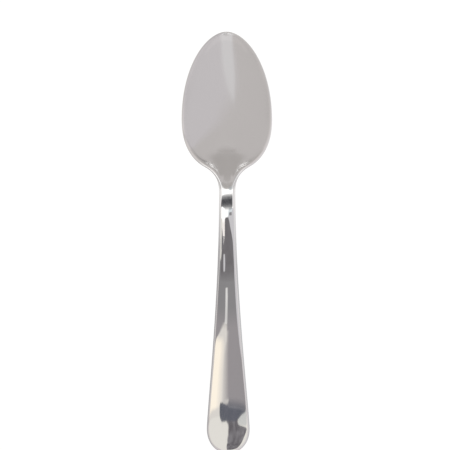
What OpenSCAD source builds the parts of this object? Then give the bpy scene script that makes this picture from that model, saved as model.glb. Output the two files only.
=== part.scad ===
// Tablespoon, pressed and polished from one piece of stainless steel.
//
// The spoon is one skin, lofted through ribs. A rib is one half of a cross
// section: it starts on the long centre line and ends on the outline. Along a
// rib the upper face goes from the keel (the centre line of the upper face) to
// the rim, the edge is bevelled over, and the under face comes back one wall of
// metal below. The left half mirrors the right half. The ribs at the tip and at
// the end of the handle lie on the centre line, and close the skin.
//
// Places along the spoon are measured from the tip of the bowl. The tip points
// along +Y, the bowl opens along +Z, and Z = 0 is the table that it rests on.

/* [Length] */
// Length from the tip of the bowl to the end of the handle
spoon_length = 200; // [185:1:230]

/* [Bowl outline] */
// Width of the bowl where it is widest
bowl_width = 43; // [36:0.5:50]
// Place of the widest part of the bowl, from the tip
bowl_widest = 42; // [38:0.5:46]
// Roundness of the tip, as a share of half the width
tip_roundness = 0.43; // [0.34:0.01:0.55]
// Length of the side that runs up to the widest part, as a share of its place
side_fullness = 0.63; // [0.5:0.01:0.72]
// Place of the shoulders, where the outline turns from round to hollow
shoulder_place = 64; // [60:0.5:68]
// Width across the shoulders there
shoulder_width = 21.6; // [18:0.2:25]
// Angle of the outline at the shoulders, from the centre line
shoulder_angle = 62; // [52:1:68]
// Length of the round stretch from the widest part towards the shoulders
heel_round = 15; // [11:0.5:18]

/* [Neck outline] */
// Place of the narrowest part of the neck
neck_place = 77.5; // [75:0.5:84]
// Width of the neck
neck_width = 7.8; // [6:0.1:11]
// Length of the hollow curve from the shoulders into the neck
neck_hollow = 8.5; // [6:0.5:11]

/* [Handle outline] */
// Width of the handle where it is widest
handle_width = 20.4; // [15:0.2:26]
// Length of the rounded end, from the widest part to the end
end_round = 11.5; // [8:0.5:16]
// Length of the nearly straight stretch that leaves the neck
shank_length = 49; // [30:1:60]
// Length of the stretch that runs into the widest part of the handle
flare_length = 8; // [4:0.5:16]

/* [Side profile] */
// Depth of the bowl below its rim
bowl_depth = 8.6; // [6.5:0.1:11]
// Place of the deepest part of the bowl
bowl_deepest = 38; // [33:0.5:42]
// Rise of the tip above the sides of the rim
tip_lift = 0.7; // [0:0.1:2]
// Steepest slope of the heel, where the bowl climbs into the neck, in degrees
heel_slope = 33.5; // [24:0.5:38]
// Slope of the shank behind the neck, in degrees
shank_slope = 7; // [4:0.5:11]
// Height of the top of the handle's arch above the table
arch_height = 19.8; // [17:0.1:24]
// Place of the top of the arch
arch_place = 102; // [97:1:112]
// Distance from the end to where the handle rests on the table
foot_inset = 15; // [10:0.5:20]
// Radius of the handle's sweep over the table there
foot_radius = 83; // [60:1:140]
// Upward turn of the end of the handle, in degrees
end_turn = 9; // [0:0.5:12]

/* [Metal] */
// Thickness at the tip of the bowl
tip_metal = 1.1; // [0.8:0.1:1.6]
// Thickness of the floor of the bowl
bowl_metal = 1.4; // [1:0.1:2]
// Thickness of the bowl's wall at the shoulders
shoulder_metal = 1.9; // [1.4:0.1:2.4]
// Thickness at the middle of the neck
neck_metal = 3.2; // [2.6:0.1:4]
// Thickness along the middle of the handle at its widest
handle_metal = 2.3; // [1.8:0.1:3]
// Crown of the neck, from the border of its bevels to its middle
neck_crown = 0.2; // [0.1:0.05:0.5]
// Crown of the shank where it is roundest
shank_crown = 0.9; // [0.5:0.05:1.1]
// Place where the shank is roundest
crown_place = 118; // [108:1:130]
// Crown of the handle where it is widest
handle_crown = 0.6; // [0.2:0.05:0.8]
// Rounding of the neck's under face, from its edges to its middle
neck_belly = 0.4; // [0.1:0.05:0.6]

/* [Edges] */
// Width of the bevelled edge at the tip, seen from above
tip_bevel = 0.6; // [0.4:0.05:0.9]
// Width of the bevelled edge at the widest part of the bowl
side_bevel = 1.1; // [0.8:0.05:1.5]
// Width of the bevelled edge at the shoulders
shoulder_bevel = 1.9; // [1.4:0.05:2.3]
// Width of the bevelled edge at the neck
neck_bevel = 1.2; // [0.9:0.05:1.7]
// Width of the bevelled edge of the handle
handle_bevel = 1.5; // [1:0.05:2]
// Radius of the corner under the edge
under_round = 0.5; // [0.3:0.05:0.7]
// Share of the thickness that the bevel takes, the rest being the under corner
bevel_share = 0.78; // [0.6:0.01:0.88]

/* [Hidden] */
steel = [0.72, 0.71, 0.7];

half_length = spoon_length / 2;
half_bowl = bowl_width / 2;
half_neck = neck_width / 2;
half_handle = handle_width / 2;
handle_widest = spoon_length - end_round;
rim_height = bowl_metal + bowl_depth;
// Share by which a rib leans from square across towards square on the outline
lean = 0.5;
// Lean of the ribs half way along the heel
heel_fan = 6;
// Share of the wall's rise that comes late, which flattens the floor
flatness = 0.22;
// Distances from the neck to the steepest place of the heel and to the shank
heel_run = 12;
shank_run = 9.5;
// The handle falls steepest at this share of its run, at this share of its
// height, and this much steeper than on average
steepest_share = 0.52;
steepest_level = 0.485;
steepness = 1.63;
// Nearness to a curve's end where its direction is read
near = 0.001;
// Half the step over which the keel's bend is read
bend_step = 0.1;
// Shares of a quarter curve's run and width that its control arms take
end_arm = 0.62;
arc_arm = 0.5523;
// Power by which the bevel starts level before it turns down
bevel_power = 1.6;

// Steps along each curve of the outline, from the tip to the end
outline_steps = [21, 15, 14, 33, 14];
// Steps across the upper face, from the keel to the bevel
face_steps = 10;
// Steps across the under face
under_steps = 8;
// Places down the bevel and round the under corner, from the face to the rim
bevel_places = [0.28, 0.52, 0.72, 0.87, 0.96, 1];
under_places = [0.9, 0.6, 0];

// Outline: five curves, each with its four control points [place, half width]

shoulder = [shoulder_place, shoulder_width / 2];
shoulder_way = [cos(shoulder_angle), -sin(shoulder_angle)];
// The arms that meet the shoulders on their round side and the neck are short
shoulder_arm = 3.3;
neck_arm = 3.2;

outline = [
    // Tip to the widest part
    [[0, 0],
     [0, tip_roundness * half_bowl],
     [bowl_widest * (1 - side_fullness), half_bowl],
     [bowl_widest, half_bowl]],
    // Widest part to the shoulders
    [[bowl_widest, half_bowl],
     [bowl_widest + heel_round, half_bowl],
     shoulder - shoulder_arm * shoulder_way,
     shoulder],
    // Shoulders to the neck
    [shoulder,
     shoulder + neck_hollow * shoulder_way,
     [neck_place - neck_arm, half_neck],
     [neck_place, half_neck]],
    // Neck to the widest part of the handle
    [[neck_place, half_neck],
     [neck_place + shank_length, half_neck],
     [handle_widest - flare_length, half_handle],
     [handle_widest, half_handle]],
    // Rounded end
    [[handle_widest, half_handle],
     [handle_widest + end_round * end_arm, half_handle],
     [spoon_length, half_handle * arc_arm],
     [spoon_length, 0]]
];

function curve(p, u) =
    pow(1 - u, 3) * p[0] + 3 * pow(1 - u, 2) * u * p[1]
    + 3 * (1 - u) * u * u * p[2] + pow(u, 3) * p[3];

function curve_way(p, u) =
    3 * pow(1 - u, 2) * (p[1] - p[0]) + 6 * (1 - u) * u * (p[2] - p[1])
    + 3 * u * u * (p[3] - p[2]);

// Distance along the centre line from a point of the outline to the foot of
// the square line through it
function square_foot(p, u) =
    let (inside = min(max(u, near), 1 - near),
         at = curve(p, inside),
         way = curve_way(p, inside))
    at[1] * way[1] / way[0];

// Lean of the ribs at the heel, where they turn with the shoulders
function heel_lean(x) =
    let (s = (x - bowl_widest) / (neck_place - bowl_widest))
    heel_fan * 16 * pow(s * (1 - s), 2);

// A station is one rib: [place on the outline, half width, place on the keel]
function station(c, u) =
    let (at = curve(outline[c], u),
         heel = c == 1 || c == 2,
         ahead = heel ? -heel_lean(at[0]) : lean * square_foot(outline[c], u))
    [at[0], at[1], at[0] + ahead];

stations = [
    for (c = [0 : len(outline) - 1])
        for (i = [c == 0 ? 0 : 1 : outline_steps[c]])
            station(c, i / outline_steps[c])
];
last_station = len(stations) - 1;

// Profiles along the spoon. A knot is [place, height, slope, bend], and the
// bend is the change of slope for each mm, so that reflections run on unbroken

function quintic(x, a, b) =
    let (h = b[0] - a[0], s = (x - a[0]) / h, r = 1 - s)
    a[1] * pow(r, 3) * (1 + 3 * s + 6 * s * s)
    + a[2] * h * s * pow(r, 3) * (1 + 3 * s)
    + a[3] * h * h * s * s * pow(r, 3) / 2
    + b[1] * pow(s, 3) * (1 + 3 * r + 6 * r * r)
    - b[2] * h * r * pow(s, 3) * (1 + 3 * r)
    + b[3] * h * h * r * r * pow(s, 3) / 2;

// A value that eases from one [place, value] to the next
function eased(x, values, i = 0) =
    x <= values[0][0] ? values[0][1]
    : i == len(values) - 1 ? values[i][1]
    : x > values[i + 1][0] ? eased(x, values, i + 1)
    : quintic(x, [values[i][0], values[i][1], 0, 0],
              [values[i + 1][0], values[i + 1][1], 0, 0]);

// Rise of a wall of the bowl: level on the floor, 1 at the rim, straight beyond
function rise(q) =
    q < 1 ? (1 - flatness) * q * q + flatness * pow(q, 4)
    : 1 + (2 + 2 * flatness) * (q - 1);

// The keel is the centre line of the upper face. It climbs steepest at the
// heel, bends over at the neck, and falls from the arch to the foot
tip_height = rim_height + tip_lift;
floor_bend = 2 * (1 - flatness) * (tip_height - bowl_metal) / pow(bowl_deepest, 2);
// The neck bends over between the steepest place of the heel and the shank
heel_place = neck_place - heel_run;
shank_place = neck_place + shank_run;
arch_bend = tan(shank_slope) / (arch_place - shank_place);
shank_height = arch_height - tan(shank_slope) * (arch_place - shank_place) / 2;
heel_height = shank_height
    - (shank_place - heel_place) * (tan(heel_slope) + tan(shank_slope)) / 2;
foot_place = spoon_length - foot_inset;
fall = arch_height - handle_metal;
fall_run = foot_place - arch_place;

keel_knots = [
    [bowl_deepest, bowl_metal, 0, floor_bend],
    [heel_place, heel_height, tan(heel_slope), 0],
    [shank_place, shank_height, tan(shank_slope), -arch_bend],
    [arch_place, arch_height, 0, -arch_bend],
    [arch_place + fall_run * steepest_share, handle_metal + fall * steepest_level,
     -steepness * fall / fall_run, 0],
    [foot_place, handle_metal, 0, 1 / foot_radius],
    [spoon_length, handle_metal + foot_inset * tan(end_turn) / 2, tan(end_turn),
     tan(end_turn) / foot_inset]
];

function keel(x, i = 0) =
    x < bowl_deepest
    ? bowl_metal + (tip_height - bowl_metal) * rise((bowl_deepest - x) / bowl_deepest)
    : x > keel_knots[i + 1][0] && i < len(keel_knots) - 2 ? keel(x, i + 1)
    : quintic(x, keel_knots[i], keel_knots[i + 1]);

function keel_slope(x) = (keel(x + near) - keel(x - near)) / (2 * near);
function keel_bend(x) =
    (keel(x + bend_step) - 2 * keel(x) + keel(x - bend_step)) / pow(bend_step, 2);

function crown(x) = eased(x, [
    [neck_place, neck_crown],
    [crown_place, shank_crown],
    [handle_widest, handle_crown]
]);

// Height of the upper face at its border with the bevel
function rim(x) =
    x < bowl_widest
    ? quintic(x, [0, tip_height, -2 * tip_lift / bowl_widest,
                  2 * tip_lift / pow(bowl_widest, 2)],
              [bowl_widest, rim_height, 0, 0])
    : x < neck_place
    ? quintic(x, [bowl_widest, rim_height, 0, 0],
              [neck_place, keel(neck_place) - neck_crown,
               keel_slope(neck_place), keel_bend(neck_place)])
    : keel(x) - crown(x);

function middle_metal(x) = eased(x, [
    [0, tip_metal],
    [bowl_deepest, bowl_metal],
    [neck_place, neck_metal],
    [handle_widest, handle_metal]
]);

// The part of the crown that the under face leaves out, which keeps it flat
function flat_under(x) =
    x > neck_place ? crown(x) : eased(x, [[shoulder_place, 0], [neck_place, neck_crown]]);

function belly(x) = eased(x, [[neck_place, neck_belly], [handle_widest, 0]]);

function rim_metal(x) =
    x > neck_place
    ? middle_metal(x) - crown(x) - belly(x)
    : eased(x, [
        [0, tip_metal],
        [bowl_widest, bowl_metal],
        [shoulder_place, shoulder_metal],
        [neck_place, neck_metal - neck_crown - neck_belly]
    ]);

function bevel(x) = eased(x, [
    [0, tip_bevel],
    [bowl_widest, side_bevel],
    [shoulder_place, shoulder_bevel],
    [neck_place, neck_bevel],
    [handle_widest, handle_bevel]
]);

// Faces. A place across a rib is a share of it: 0 on the keel, 1 on the outline

function rib_length(s) = norm([s[0] - s[2], s[1]]);
function face_share(s) = 1 - bevel(s[0]) / rib_length(s);

function upper(s, across) =
    let (q = across / face_share(s),
         reach = face_share(s) * (s[0] - s[2]),
         slant = keel_slope(s[2]) * reach)
    [across * s[1],
     half_length - s[2] - across * (s[0] - s[2]),
     keel(s[2]) + slant * q + (rim(s[0]) - keel(s[2]) - slant) * rise(q)];

// Depth straight down through the wall, so that its true thickness holds on a slope
function wall(i, across) =
    let (s = stations[i],
         inside = min(across, face_share(s)),
         past = rise(across / face_share(s)) - rise(inside / face_share(s)),
         metal = middle_metal(s[2])
             + (rim_metal(s[0]) - middle_metal(s[2])) * rise(inside / face_share(s))
             - flat_under(s[0]) * past,
         along = upper(s, inside + near) - upper(s, inside - near),
         beside = s[1] == 0 ? [1, 0, 0]
             : upper(stations[i + 1], inside) - upper(stations[i - 1], inside),
         square = cross(along, beside))
    metal * norm(square) / abs(square[2]);

// Depth of the bevel, which starts level with the face and ends steep
function bevel_drop(q) = 1 - pow(1 - pow(q, bevel_power), 2 / 3);
function round_rise(q) = 1 - sqrt(1 - q * q);

// The points of one rib, from the keel over the edge and back under it
function upper_face(i) = [
    for (k = [0 : face_steps])
        upper(stations[i], face_share(stations[i]) * k / face_steps)
];

function bevel_face(i) =
    let (s = stations[i], wide = 1 - face_share(s), deep = bevel_share * wall(i, 1))
    [for (q = bevel_places)
        upper(s, face_share(s) + wide * q) - [0, 0, deep * bevel_drop(q)]];

function under_corner(i) =
    let (s = stations[i], wide = under_round / rib_length(s))
    [for (q = under_places)
        let (across = 1 - wide * (1 - q), deep = wall(i, across))
        upper(s, across) - [0, 0, deep * (1 - (1 - bevel_share) * round_rise(q))]];

function under_face(i) =
    let (s = stations[i], border = 1 - under_round / rib_length(s))
    [for (k = [under_steps - 1 : -1 : 0])
        let (across = border * k / under_steps)
        upper(s, across) - [0, 0, wall(i, across)]];

function rib(i) = concat(upper_face(i), bevel_face(i), under_corner(i), under_face(i));

ribs = [for (i = [0 : last_station]) rib(i)];
last_point = len(ribs[0]) - 1;

// Points of the right half, then the mirrored points that lie off the centre line
right_points = [for (r = ribs) each r];
left_points = [
    for (i = [1 : last_station - 1])
        for (k = [1 : last_point - 1])
            [-ribs[i][k][0], ribs[i][k][1], ribs[i][k][2]]
];

function right(i, k) = i * (last_point + 1) + k;
function left(i, k) =
    i == 0 || i == last_station || k == 0 || k == last_point ? right(i, k)
    : len(right_points) + (i - 1) * (last_point - 1) + k - 1;

// A face starts at the corner that its diagonal is drawn from. The diagonals
// lean so that none lies along the centre line at the tip or the end
function turned(face, n) = [for (j = [0 : 3]) face[(j + n) % 4]];

skin = [
    for (i = [0 : last_station - 1])
        for (k = [0 : last_point - 1])
            let (front = i < last_station / 2,
                 above = k < last_point / 2,
                 n = front == above ? 0 : 1)
            each [
                turned([right(i, k), right(i, k + 1), right(i + 1, k + 1), right(i + 1, k)], n),
                turned([left(i, k), left(i + 1, k), left(i + 1, k + 1), left(i, k + 1)], n)
            ]
];

module spoon() {
    color(steel)
        polyhedron(points = concat(right_points, left_points), faces = skin, convexity = 6);
}

spoon();
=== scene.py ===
"""A polished stainless steel tablespoon, bowl up on a white light table, seen from above."""

import math

import bmesh
import bpy
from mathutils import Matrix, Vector


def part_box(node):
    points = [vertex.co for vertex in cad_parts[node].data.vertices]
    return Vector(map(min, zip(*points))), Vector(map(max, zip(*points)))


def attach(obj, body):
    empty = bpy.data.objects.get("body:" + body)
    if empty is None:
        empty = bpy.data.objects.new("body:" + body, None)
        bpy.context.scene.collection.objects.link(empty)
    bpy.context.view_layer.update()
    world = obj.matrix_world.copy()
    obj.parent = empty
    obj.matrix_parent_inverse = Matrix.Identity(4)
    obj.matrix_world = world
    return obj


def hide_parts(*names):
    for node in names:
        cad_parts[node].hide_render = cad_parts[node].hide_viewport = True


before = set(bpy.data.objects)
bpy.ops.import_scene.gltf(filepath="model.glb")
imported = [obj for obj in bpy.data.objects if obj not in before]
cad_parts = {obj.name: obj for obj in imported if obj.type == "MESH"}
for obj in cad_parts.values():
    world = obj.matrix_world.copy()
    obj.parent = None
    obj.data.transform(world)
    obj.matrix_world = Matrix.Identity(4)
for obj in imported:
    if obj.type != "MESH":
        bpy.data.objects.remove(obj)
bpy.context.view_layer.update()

MM = 0.001

# Places on the spoon. The tip of the bowl points along +Y
low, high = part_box("spoon")
TIP = high.y
# The rim of the bowl lies at this share of the spoon's height
RIM_SHARE = 0.54
RIM = RIM_SHARE * high.z

# The skin: corners closer than this are one, and how often it is rounded
MERGE = 0.002 * MM
ROUNDING = 2
# How far a face looks up where the upper side begins, and where it is surely the upper side
UPPER_START = 0.3
UPPER_FULL = 0.5

# The bowl's middle, and its width as a share of its length
BOWL_MIDDLE = TIP - 38 * MM
BOWL_SQUEEZE = 0.6
# How far a wall of the bowl leans to the middle where the softer polish and the painted shade of
# the hollow begin and are full
WALL_START = 0.45
WALL_FULL = 0.6
# Where the softer polish and the painted shade of the hollow end: behind, at the throat, and under
# the rim
HOLLOW_END = TIP - 75 * MM
HOLLOW_BLEND = 1.5 * MM
THROAT_WIDTH = 4 * MM
THROAT_BLEND = 2 * MM
HEEL_END = TIP - 55 * MM
HEEL_BLEND = 5 * MM
HOLLOW_FULL = RIM - 2.5 * MM
HOLLOW_TOP = RIM - 1.2 * MM
# How much of it runs on over the rim towards the tip
TIP_START = TIP - 48 * MM
TIP_BLEND = 20 * MM
TIP_SHARE = 0.75

# The thin dark line of painted shade just inside the rim: its height, its width, and where it grows
# strong
LINE_HEIGHT = RIM - 0.05 * MM
LINE_WIDTH = 0.4 * MM
LINE_START = TIP - 61.5 * MM
LINE_BLEND = 5.5 * MM
# How far to each side of the heel's middle it begins, and over what width it grows
LINE_GAP = 7.5 * MM
LINE_GAP_BLEND = 1.5 * MM
# How strong it is all round, how much is added at the heel, and how much the right side loses
LINE_SHARE = 0.3
LINE_HEEL_SHARE = 0.45
LINE_RIGHT_LOSS = 0.95
LINE_RIGHT_BLEND = 4 * MM
# How far it dips below the rim in front of the heel, and where the dip is full and ends
DIP = 0.65 * MM
DIP_FULL = LINE_START + 6 * MM
DIP_LEAVE = LINE_START + 9 * MM
DIP_END = LINE_START + 17 * MM

# The steel: two close colours that cloud each other, for the bright polish and the soft one; the
# soft one is greyer as painted shade in the hollow
BRIGHT_STEEL = (0.75, 0.74, 0.73, 1)
BRIGHT_STEEL_PALE = (0.78, 0.77, 0.76, 1)
SHADED_HOLLOW_STEEL = (0.61, 0.605, 0.6, 1)
SHADED_HOLLOW_STEEL_PALE = (0.635, 0.63, 0.625, 1)
# The painted shade of the thin dark line inside the rim
RIM_SHADE_STEEL = (0.33, 0.33, 0.33, 1)
STEEL_CLOUD_SCALE = 45.0
STEEL_CLOUD_DETAIL = 3.0
# Polishing hairs: narrow across, long along the spoon
HAIR_SCALE = (900.0, 40.0, 900.0)
HAIR_DETAIL = 2.0
POLISH = 0.035
HAIR_ROUGHNESS = 0.03
SOFT_ROUGHNESS = 0.1

# The photograph's frame: 450 pixels wide, with the outline at this scale
PIXELS = 450
PIXEL = 0.4728 * MM
TIP_ROW = 31.4
MIDDLE_COLUMN = 227.32
TURN = math.radians(0.266)
CAMERA_HEIGHT = 1.8
SENSOR = 36.0
NEAREST = 0.1
FARTHEST = 20.0

# The light table: half its width in metres, its own grey, and how much it glows
TABLE_HALF = 6.0
TABLE_GREY = (0.25, 0.25, 0.25, 1)
TABLE_ROUGHNESS = 0.7
TABLE_GLOW = 0.86

# Heights of the cards in mm, and the step between cards that overlap
TABLE = 0.3
LOW = 30
MIDDLE = 60
HIGH = 300
STEP = 0.1
# Edges that lie past all that the spoon mirrors, on low cards, on wide ones and on high ones
PAST_LOW = 60
PAST_WIDE = 200
PAST_HIGH = 9000
# A card has three strips: its own width between two that fade out
STRIPS = 3
# How finely a card is clouded, and how sharply its two colours part
MOTTLE_SCALE = 250
MOTTLE_DETAIL = 2.0
MOTTLE_CONTRAST = 3.0
# The screen at the throat: where its two sides stand, and its height and half width in rows
THROAT_FRONT = 50
THROAT_BACK = 50.3
THROAT_SHAPE = [(10.9, 3.5), (12, 5.5), (13, 8.5), (15, 11), (20, 11)]

# What the room and the cards give off
ROOM = (0.765, 0.729, 0.721)
BRIGHT_ROOM = (0.83, 0.795, 0.813)
STREAK = (0.93, 0.91, 0.92)
SHIELD = (0.6, 0.57, 0.555)
GLINT = (4.2, 4.2, 4.2)
WHITE = (1.5, 1.5, 1.5)
NECK_BLUE = (0.86, 0.92, 0.96)
THROAT_BLUE = (0.52, 0.55, 0.57)
STRIPE = (1.14, 1.09, 1.06)
CREAM = (1.28, 1.18, 1.02)
PALE = (0.96, 0.94, 0.89)
SOFT_PALE = (0.88, 0.85, 0.81)
NOTCH = (0.7, 0.68, 0.66)
STREAK_PALE = (0.9, 0.89, 0.88)
EDGE_LIGHT = (0.73, 0.72, 0.75)
PATCH = (0.74, 0.75, 0.74)
RIGHT_SIDE = (0.66, 0.66, 0.68)
LEFT_SIDE = (0.5, 0.49, 0.5)
GREY = (0.39, 0.37, 0.385)
MID_GREY = (0.315, 0.31, 0.32)
SHADE = (0.237, 0.23, 0.24)
SHADE_DARK = (0.2, 0.19, 0.2)
TRUNK = (0.29, 0.28, 0.3)
TRUNK_DARK = (0.16, 0.15, 0.165)
SLATE = (0.16, 0.165, 0.2)
SLATE_DARK = (0.135, 0.145, 0.175)
BLACK = (0.17, 0.17, 0.18)
BLACK_DARK = (0.08, 0.08, 0.09)


def mesh_object(name, bm):
    """An object at the origin that holds this bmesh, smooth shaded."""
    mesh = bpy.data.meshes.new(name)
    for face in bm.faces:
        face.smooth = True
    bm.to_mesh(mesh)
    bm.free()
    made = bpy.data.objects.new(name, mesh)
    bpy.context.scene.collection.objects.link(made)
    return made


def subdivide(piece, levels):
    """Rounds a piece with a subdivision surface."""
    modifier = piece.modifiers.new("rounding", "SUBSURF")
    modifier.levels = levels
    modifier.render_levels = levels


class Socket:
    """A value or link in a shader, so that its maths reads as Python."""

    def __init__(self, graph, link):
        self.graph = graph
        self.link = link

    def _math(self, operation, *values):
        node = self.graph.tree.nodes.new("ShaderNodeMath")
        node.operation = operation
        for socket, value in zip(node.inputs, values):
            self.graph.feed(socket, value)
        return Socket(self.graph, node.outputs[0])

    def __add__(self, other):
        return self._math("ADD", self, other)

    def __radd__(self, other):
        return self._math("ADD", other, self)

    def __sub__(self, other):
        return self._math("SUBTRACT", self, other)

    def __rsub__(self, other):
        return self._math("SUBTRACT", other, self)

    def __mul__(self, other):
        return self._math("MULTIPLY", self, other)

    def __rmul__(self, other):
        return self._math("MULTIPLY", other, self)


class Graph:
    """The nodes of one material."""

    def __init__(self, name):
        self.material = bpy.data.materials.new(name)
        self.material.use_nodes = True
        self.tree = self.material.node_tree
        self.shader = self.tree.nodes["Principled BSDF"]

    def feed(self, socket, value):
        """Links a shader value to a socket, or sets the socket to a plain value."""
        if isinstance(value, Socket):
            self.tree.links.new(value.link, socket)
        else:
            socket.default_value = value

    def node(self, kind, settings=None, output=0, numbered=None, **inputs):
        """Adds a node, sets its settings first, then feeds its sockets by number or name."""
        made = self.tree.nodes.new(kind)
        for key, value in (settings or {}).items():
            setattr(made, key, value)
        for key, value in (numbered or {}).items():
            self.feed(made.inputs[key], value)
        for key, value in inputs.items():
            self.feed(made.inputs[key.replace("_", " ")], value)
        return Socket(self, made.outputs[output])

    def mark(self, name):
        """Reads a value that is marked on the mesh."""
        return self.node("ShaderNodeAttribute", {"attribute_name": name}, output="Fac")

    def mix(self, share, first, second):
        """Blends two colours by a share."""
        return self.node("ShaderNodeMix", {"data_type": "RGBA"}, output=2,
                         numbered={0: share, 6: first, 7: second})

    def set(self, **inputs):
        """Feeds or sets sockets of the surface shader."""
        for key, value in inputs.items():
            self.feed(self.shader.inputs[key.replace("_", " ")], value)


def spoon_skin():
    """The solid's own skin, joined back into a grid of quads for a smooth polish."""
    bm = bmesh.new()
    bm.from_mesh(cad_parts["spoon"].data)
    bmesh.ops.remove_doubles(bm, verts=bm.verts, dist=MERGE)
    bmesh.ops.join_triangles(
        bm, faces=bm.faces, angle_face_threshold=math.pi, angle_shape_threshold=math.pi,
        topology_influence=1.0,
    )
    bm.normal_update()
    return bm


def eased(value, start, end):
    """0 up to start, 1 from end on, and a smooth step between them."""
    share = min(max((value - start) / (end - start), 0.0), 1.0)
    return share * share * (3.0 - 2.0 * share)


def upper(vert):
    """1 on the upper side of the spoon, 0 on its edge and below."""
    return eased(vert.normal.z, UPPER_START, UPPER_FULL)


def mark_hollow(bm):
    """Marks the hollow of the bowl, from its floor up to just under the rim and to the throat,
    where the polish is softer and the steel greyer as painted shade.
    """
    layer = bm.verts.layers.float.new("hollow")
    for vert in bm.verts:
        outward = Vector((vert.co.x, (vert.co.y - BOWL_MIDDLE) * BOWL_SQUEEZE, 0)).normalized()
        steep = eased(-vert.normal.dot(outward), WALL_START, WALL_FULL)
        deep = 1.0 - eased(vert.co.z, HOLLOW_FULL, HOLLOW_TOP)
        slim = 1.0 - eased(abs(vert.co.x), THROAT_WIDTH, THROAT_WIDTH + THROAT_BLEND)
        heel = 1.0 - eased(vert.co.y, HEEL_END, HEEL_END + HEEL_BLEND)
        tip = TIP_SHARE * eased(vert.co.y, TIP_START, TIP_START + TIP_BLEND)
        ahead = eased(vert.co.y, HOLLOW_END, HOLLOW_END + HOLLOW_BLEND)
        vert[layer] = upper(vert) * max(steep, deep, slim * heel, tip) * ahead


def mark_painted_rim_shade(bm):
    """Marks how strong the thin dark line of painted shade inside the rim is, and how high it runs.
    """
    strength = bm.verts.layers.float.new("painted_rim_shade")
    height = bm.verts.layers.float.new("painted_rim_shade_height")
    for vert in bm.verts:
        right = eased(vert.co.x, -LINE_RIGHT_BLEND, LINE_RIGHT_BLEND)
        heel = 1.0 - eased(vert.co.y, LINE_START, LINE_START + LINE_BLEND)
        clear = eased(abs(vert.co.x), LINE_GAP, LINE_GAP + LINE_GAP_BLEND)
        side = 1.0 - LINE_RIGHT_LOSS * right
        along = LINE_SHARE + LINE_HEEL_SHARE * heel
        vert[strength] = upper(vert) * side * along * max(clear, 1.0 - heel)
        dip = eased(vert.co.y, LINE_START, DIP_FULL)
        dip *= 1.0 - eased(vert.co.y, DIP_LEAVE, DIP_END)
        vert[height] = LINE_HEIGHT - DIP * dip


def polished_steel():
    """Mirror bright steel, with a slightly softer polish in the hollow of the bowl, greyer there as
    painted shade, and a thin dark line of painted shade inside the rim.
    """
    graph = Graph("polished_steel")
    hollow = graph.mark("hollow")
    place = graph.node("ShaderNodeTexCoord", output="Object")
    cloud = graph.node("ShaderNodeTexNoise", Vector=place, Scale=STEEL_CLOUD_SCALE,
                       Detail=STEEL_CLOUD_DETAIL)
    lengthwise = graph.node("ShaderNodeMapping", Vector=place, Scale=HAIR_SCALE)
    hairs = graph.node("ShaderNodeTexNoise", Vector=lengthwise, Scale=1.0, Detail=HAIR_DETAIL)
    bright = graph.mix(cloud, BRIGHT_STEEL, BRIGHT_STEEL_PALE)
    # The hollow's steel is greyer as painted shade
    soft = graph.mix(cloud, SHADED_HOLLOW_STEEL, SHADED_HOLLOW_STEEL_PALE)
    height = graph.node("ShaderNodeSeparateXYZ", output="Z", Vector=place)
    away = graph.node("ShaderNodeMath", {"operation": "ABSOLUTE"},
                      numbered={0: height - graph.mark("painted_rim_shade_height")})
    near = graph.node("ShaderNodeMath", {"operation": "MAXIMUM"},
                      numbered={0: 1.0 - away * (1.0 / LINE_WIDTH), 1: 0.0})
    # The thin dark line inside the rim is painted shade
    line = near * graph.mark("painted_rim_shade")
    graph.set(
        Base_Color=graph.mix(line, graph.mix(hollow, bright, soft), RIM_SHADE_STEEL),
        Metallic=1.0,
        Roughness=POLISH + HAIR_ROUGHNESS * hairs + hollow * SOFT_ROUGHNESS,
    )
    return graph.material


def spoon():
    """The whole spoon as one polished piece."""
    bm = spoon_skin()
    mark_hollow(bm)
    mark_painted_rim_shade(bm)
    piece = mesh_object("polished_spoon", bm)
    subdivide(piece, ROUNDING)
    piece.data.materials.append(polished_steel())
    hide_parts("spoon")
    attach(piece, "root")


def floor():
    """A wide pale light table, just under the spoon."""
    bm = bmesh.new()
    bmesh.ops.create_grid(bm, x_segments=1, y_segments=1, size=TABLE_HALF)
    bmesh.ops.translate(bm, verts=bm.verts, vec=(0, 0, low.z))
    made = mesh_object("light_table", bm)
    graph = Graph("light_table")
    graph.set(Base_Color=TABLE_GREY, Roughness=TABLE_ROUGHNESS, Specular_IOR_Level=0.0,
              Emission_Color=(1, 1, 1, 1), Emission_Strength=TABLE_GLOW)
    made.data.materials.append(graph.material)


def camera():
    """Looks straight down, with the photograph's scale at the rim's height."""
    data = bpy.data.cameras.new("camera")
    width = PIXELS * PIXEL
    data.sensor_width = SENSOR
    data.lens = SENSOR * (CAMERA_HEIGHT - RIM) / width
    data.clip_start = NEAREST
    data.clip_end = FARTHEST
    made = bpy.data.objects.new("camera", data)
    middle_row = TIP - (PIXELS / 2 - TIP_ROW) * PIXEL
    middle_column = (PIXELS / 2 - MIDDLE_COLUMN) * PIXEL
    made.location = (middle_column, middle_row, CAMERA_HEIGHT)
    made.rotation_euler = (0, 0, -TURN)
    bpy.context.scene.collection.objects.link(made)
    bpy.context.scene.camera = made


def room():
    """Even warm grey surroundings."""
    world = bpy.data.worlds.new("studio")
    world.use_nodes = True
    background = world.node_tree.nodes["Background"]
    background.inputs["Color"].default_value = (*ROOM, 1)
    background.inputs["Strength"].default_value = 1.0
    bpy.context.scene.world = world


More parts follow.
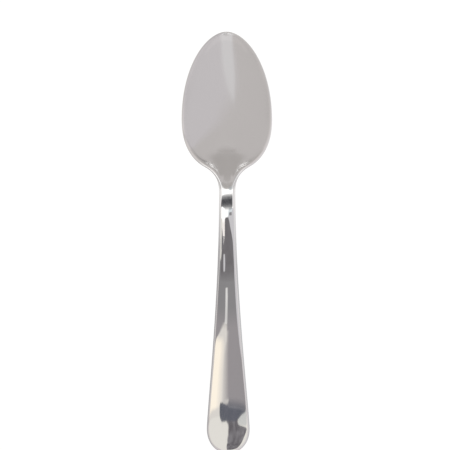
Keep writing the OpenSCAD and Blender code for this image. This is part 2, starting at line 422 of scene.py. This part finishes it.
def hang(name, bm, colour, mottle=None, scale=MOTTLE_SCALE):
    """A flat piece of the studio that only the steel mirrors. It fades out where it covers less."""
    made = mesh_object(name, bm)
    graph = Graph(name)
    glow = (*colour, 1)
    if mottle:
        place = graph.node("ShaderNodeTexCoord", output="Object")
        cloud = graph.node("ShaderNodeTexNoise", Vector=place, Scale=scale, Detail=MOTTLE_DETAIL)
        glow = graph.mix((cloud - 0.5) * MOTTLE_CONTRAST + 0.5, glow, (*mottle, 1))
    graph.set(
        Base_Color=(0, 0, 0, 1), Specular_IOR_Level=0.0, Roughness=1.0,
        Emission_Color=glow, Emission_Strength=1.0, Alpha=graph.mark("cover"),
    )
    made.data.materials.append(graph.material)
    made.visible_camera = False
    made.visible_diffuse = False
    made.visible_shadow = False


def row(y, left, right, cover=1.0, slant=0.0):
    """One line across a card in mm: how much it covers there, and how far it leans to +Y per mm."""
    return y, left, right, cover, slant


def card(name, colour, rows, height=LOW, layer=0, soft=(0, 0), fade=(0, 0), mottle=None,
         scale=MOTTLE_SCALE):
    """A lit card or a dark flag that hangs level over the spoon.

    rows go from far to near. A card of a higher layer hangs in front of the others at its
    height. soft is how far the card fades out past its left and right edges, and fade how
    far it fades out past its first and last row, in mm. mottle is a second colour that
    clouds it, and scale is how finely.
    """
    rows = [row(*values) for values in rows]
    if fade[0]:
        y, left, right, cover, slant = rows[0]
        rows.insert(0, row(y + fade[0], left, right, 0.0, slant))
    if fade[1]:
        y, left, right, cover, slant = rows[-1]
        rows.append(row(y - fade[1], left, right, 0.0, slant))
    bm = bmesh.new()
    bmesh.ops.create_grid(bm, x_segments=STRIPS, y_segments=len(rows) - 1, size=1.0)
    covers = bm.verts.layers.float.new("cover")
    level = (height - layer * STEP) * MM
    for vert in bm.verts:
        column = round((vert.co.x + 1.0) / 2.0 * STRIPS)
        number = round((1.0 - vert.co.y) / 2.0 * (len(rows) - 1))
        y, left, right, cover, slant = rows[number]
        x = (left - soft[0], left, right, right + soft[1])[column]
        vert[covers] = cover if 0 < column < STRIPS else 0.0
        vert.co = (x * MM, (y + slant * x) * MM, level)
    hang(name, bm, colour, mottle, scale)


def screen(name, colour, y, rows):
    """A small flag that stands across the spoon, just over the rim of the bowl.

    rows go from its foot up: height, and how far it reaches to each side, in mm.
    """
    bm = bmesh.new()
    bmesh.ops.create_grid(bm, x_segments=1, y_segments=len(rows) - 1, size=1.0)
    covers = bm.verts.layers.float.new("cover")
    for vert in bm.verts:
        height, half = rows[round((vert.co.y + 1.0) / 2.0 * (len(rows) - 1))]
        vert[covers] = 1.0
        vert.co = (vert.co.x * half * MM, y * MM, height * MM)
    hang(name, bm, colour)


def neck_cards():
    """What the neck mirrors: white with a dark flag across it, and a shield at its throat."""
    card("neck_white", WHITE, [
        (41.5, -4, 3), (40.5, -20, 16), (22, -20, 16), (18, -20, 9), (15, -20, 6),
        (12.5, -9, 0, 0.5), (11, -8.6, -2, 0),
    ], layer=2, soft=(0.5, 0.5))
    card("neck_stripe", STRIPE, [
        (15, -20, -2), (12, -9.5, -3.6), (9, -8.4, -3.9), (6, -8.2, -4.1), (4, -8, -4.2),
        (2, -7.6, -4.5), (0.6, -7.2, -5), (-0.8, -7, -5.7), (-1.8, -6.9, -6.3),
    ], layer=1, soft=(0.4, 1.3), fade=(2, 1))
    card("neck_flag", BLACK, [
        (35.6, 3.5, 7, 0), (33, -1, 7.2, 0.4, 0.1), (31, -10, 7.4, 0.62, 0.12),
        (29.4, -24, 7.5, 0.88, 0.08), (27.8, -34, 7.5), (24.6, -34, 7.4), (23.2, -20, 7, 0.95),
        (21.8, -5, 6, 0.85), (20.3, -2, 5, 0.5), (19, -1, 3, 0),
    ], layer=4, soft=(1.2, 1.6), mottle=BLACK_DARK, scale=420)
    card("neck_glow", NECK_BLUE, [
        (20.5, 2.5, 9), (18, 1.5, 9), (16, 1.2, 9), (15, 0.8, 9),
    ], layer=2.5, soft=(1.2, 0), fade=(0.8, 0.6))
    card("throat_edge", THROAT_BLUE, [
        (43, 1.2, 9), (40.6, 2, 10), (39, 3.4, 10, 0.6),
    ], layer=3, soft=(0.8, 1), fade=(1, 0.9))
    card("neck_spot", MID_GREY, [
        (17.5, 2.5, 4.8), (16.2, 2.3, 5),
    ], layer=5, soft=(0.9, 0.8), fade=(0.7, 0.7))
    card("throat_flag", SHIELD, [
        (51, -6, 6), (46, -5, 5), (41.4, -4, 4),
    ], soft=(2, 2), fade=(1, 0.4))


def shank_cards():
    """What the slim part of the handle mirrors: a dark wedge with light at both sides."""
    card("left_side", LEFT_SIDE, [
        (-3, -PAST_WIDE, 0), (-140, -PAST_WIDE, 0),
    ], height=TABLE, fade=(34, 0))
    card("right_side", RIGHT_SIDE, [
        (-14, 0, PAST_WIDE), (-140, 0, PAST_WIDE),
    ], height=TABLE, layer=1, fade=(50, 0))
    card("handle_grey", GREY, [(4, -PAST_WIDE, PAST_LOW), (-84, -PAST_WIDE, PAST_LOW)])
    card("middle_grey", MID_GREY, [
        (4, -PAST_WIDE, PAST_LOW), (-40, -PAST_WIDE, PAST_LOW),
    ], layer=1, fade=(0, 14))
    card("right_light", EDGE_LIGHT, [
        (21, 7.8, PAST_LOW), (19, 6.8, PAST_LOW), (17.4, 5.4, PAST_LOW), (16, 3, PAST_LOW),
        (15, 1.2, PAST_LOW), (14, 1, PAST_LOW), (9.6, 2.6, PAST_LOW), (4, 6, PAST_LOW),
        (0, 9.6, PAST_LOW), (-3, 12, PAST_LOW), (-6.3, 14.8, PAST_LOW), (-11, 17.2, PAST_LOW),
        (-25, 19, PAST_LOW), (-40, 20, PAST_LOW), (-50, 21.5, PAST_LOW), (-58, 23.5, PAST_LOW),
        (-66, 27, PAST_LOW), (-75, 40, PAST_LOW),
    ], layer=3, soft=(1.2, 0))
    card("left_light", PALE, [
        (14, -PAST_LOW, -7.5), (10, -PAST_LOW, -8.2), (4, -PAST_LOW, -10.8),
        (0, -PAST_LOW, -12.6), (-5, -PAST_LOW, -14.8), (-9, -PAST_LOW, -17.5),
    ], layer=3, soft=(0, 0.8), fade=(0, 2))
    card("shade", SHADE, [
        (14.4, -1.6, 0.7), (13.5, -2.4, 1.2), (12, -2.5, 2), (9.6, -2.7, 3), (7.4, -2.9, 4.4),
        (4, -3.3, 7.2), (2, -3.8, 9.3), (0.6, -5, 10.4), (-1.7, -7, 11.8), (-5, -13, 14),
        (-10, -18, 16.2), (-16, -20, 17),
    ], layer=5, soft=(0.8, 0.8), fade=(0.5, 7), mottle=SHADE_DARK, scale=120)
    card("left_wedge", SHADE, [
        (7.5, -8.9, -8.4), (5, -10, -8), (2.5, -11.6, -7.6), (0, -12.6, -7.2), (-3, -14, -7),
    ], layer=6, soft=(0.5, 0.6), fade=(1.4, 1))
    card("short_streak", EDGE_LIGHT, [
        (-6.4, -6.6, -4.6), (-9, -6.8, -4.4), (-12, -6.9, -4.3), (-15.6, -6.7, -4.8),
    ], layer=6, soft=(1.3, 1.0), fade=(0.8, 1))
    card("long_streak", STREAK_PALE, [
        (-26.6, -2.5, -0.8), (-32, -2.7, -0.6), (-38, -2.9, -0.8, 0.9), (-46, -3.4, -1.2, 0.8),
        (-50.5, -4.2, -1.6, 0.85),
    ], layer=6, soft=(1.1, 1.4), fade=(0.8, 1))


def handle_cards():
    """What the broad part mirrors: a cream panel at the left, pale and dark shapes at the end."""
    card("panel_fade", SOFT_PALE, [
        (-55, -9, -4.6, 0), (-59, -15, -5.3), (-63, -24, -5.5), (-69, -40, -6.1),
        (-77, -PAST_LOW, -6.3), (-85.5, -PAST_LOW, -6.3),
    ], layer=4, soft=(4, 7))
    card("panel_top", SOFT_PALE, [
        (-50, -4, -2.3, 0.5), (-52.4, -6, -2.3, 0.8), (-55, -9, -2.3), (-58, -12.6, -2.3),
        (-62, -19.5, -2.6, 0.9), (-67, -31, -3.8, 0.4), (-71, -40, -5, 0),
    ], layer=5, soft=(4.5, 2.2))
    card("cream_panel", CREAM, [
        (-59, -17, -14, 0), (-63.5, -29, -11.6, 0.9), (-68, -42, -11.6),
        (-76, -PAST_LOW, -12.8), (-83.7, -PAST_LOW, -12.8),
    ], layer=6, soft=(4, 8), fade=(0, 0.7))
    card("end_pale", PALE, [(-84.2, -PAST_LOW, PAST_LOW), (-115, -PAST_LOW, PAST_LOW)], layer=3)
    card("slate_flag", SLATE, [
        (-82.2, 1, 40, 0), (-82.8, 0.8, 40, 0.22), (-83.3, 0.2, 40, 0.52), (-83.8, -0.6, 30, 0.8),
        (-84.3, -0.6, 20), (-85.2, -0.6, 11.5), (-85.8, -0.6, 9), (-86.2, -0.6, 6),
    ], layer=8, soft=(1.2, 1), fade=(0, 0.25), mottle=SLATE_DARK)
    card("slate_lobe", SLATE, [
        (-83.3, -7.3, -5), (-83.7, -7.5, -0.6), (-84.3, -7.5, 0.4), (-85.2, -7.3, 0.4),
        (-85.8, -6.6, 0), (-86.3, -5.4, -2.4),
    ], layer=9, soft=(0.5, 0.8), fade=(0.3, 0.25), mottle=SLATE_DARK)
    card("slate_notch", NOTCH, [
        (-82.7, -3.4, 0.2), (-83.15, -3, -0.2),
    ], layer=10, soft=(0.8, 0.6), fade=(0.3, 0.25))
    card("trunk", TRUNK, [
        (-85.7, -1.4, 8.3), (-86.4, -0.9, 7.6), (-87, 0.6, 9), (-87.5, 0.8, 22),
        (-88.2, 0.6, 27), (-89.2, 0.6, 21), (-90.4, -0.4, 17), (-92, -1.1, 15.2),
        (-94, -1.4, 14.4), (-97, -1.4, 13.6), (-101, -1.3, 13.4), (-106, -1.2, 13.4),
    ], layer=7, soft=(1.2, 1.2), mottle=TRUNK_DARK, scale=300)
    card("light_patch", PATCH, [
        (-83.8, 28, 40), (-84.3, 19, 40), (-84.9, 13.8, 36), (-85.6, 10.6, 32),
        (-86.2, 9.2, 26), (-86.7, 9, 18),
    ], layer=9, soft=(0.8, 0.8), fade=(0.25, 0.35))


def bowl_cards():
    """What the bowl mirrors: a bright side, a long streak, shields past heel and tip, glints."""
    card("bright_side", BRIGHT_ROOM, [
        (1500, 2000, PAST_HIGH), (800, 1090, PAST_HIGH), (350, 500, PAST_HIGH),
        (225, 320, PAST_HIGH), (140, 210, PAST_HIGH), (90, 130, PAST_HIGH),
        (50, 60, PAST_HIGH), (0, -20, PAST_HIGH), (-3000, -30, PAST_HIGH),
    ], height=HIGH, soft=(150, 0), fade=(300, 0))
    card("streak_light", STREAK, [
        (43, -72, -66), (17, -79, -25), (-31, -89, 15), (-98, -93, 42), (-167, -99, 66),
        (-396, -175, 160), (-700, -280, 300),
    ], height=HIGH, layer=10, soft=(0, 26))
    card("far_flag", SHIELD, [
        (PAST_HIGH, -3300, 3300), (3000, -1100, 1100), (1950, -700, 700), (1140, -385, 385),
        (800, -240, 240), (567, -135, 135), (477, -88, 88), (430, -56, 56),
        (405, -38, 38, 0.5), (375, -12, 12, 0),
    ], height=HIGH, layer=3, soft=(40, 40))
    screen("throat_screen", SHIELD, THROAT_FRONT, THROAT_SHAPE)
    screen("throat_screen_back", ROOM, THROAT_BACK, THROAT_SHAPE)
    card("mouth_flag", ROOM, [(116, -18, 18), (82, -18, 18)], height=MIDDLE)
    card("mouth_shield", SHIELD, [
        (118, -20, 20), (112, -14, 14, 0.65), (106, -8, 8, 0.25), (100, -3, 3, 0),
    ], height=MIDDLE, layer=1, soft=(3, 3))
    card("corner_light", GLINT, [
        (402, -26, 26), (350, -26, 26),
    ], height=HIGH, layer=5, soft=(8, 8), fade=(6, 8))
    card("right_corner_light", PALE, [(325, 28, 76), (272, 28, 76)], height=HIGH, layer=5)


camera()
room()
floor()
neck_cards()
shank_cards()
handle_cards()
bowl_cards()
spoon()
bpy.context.scene.view_settings.view_transform = "Standard"
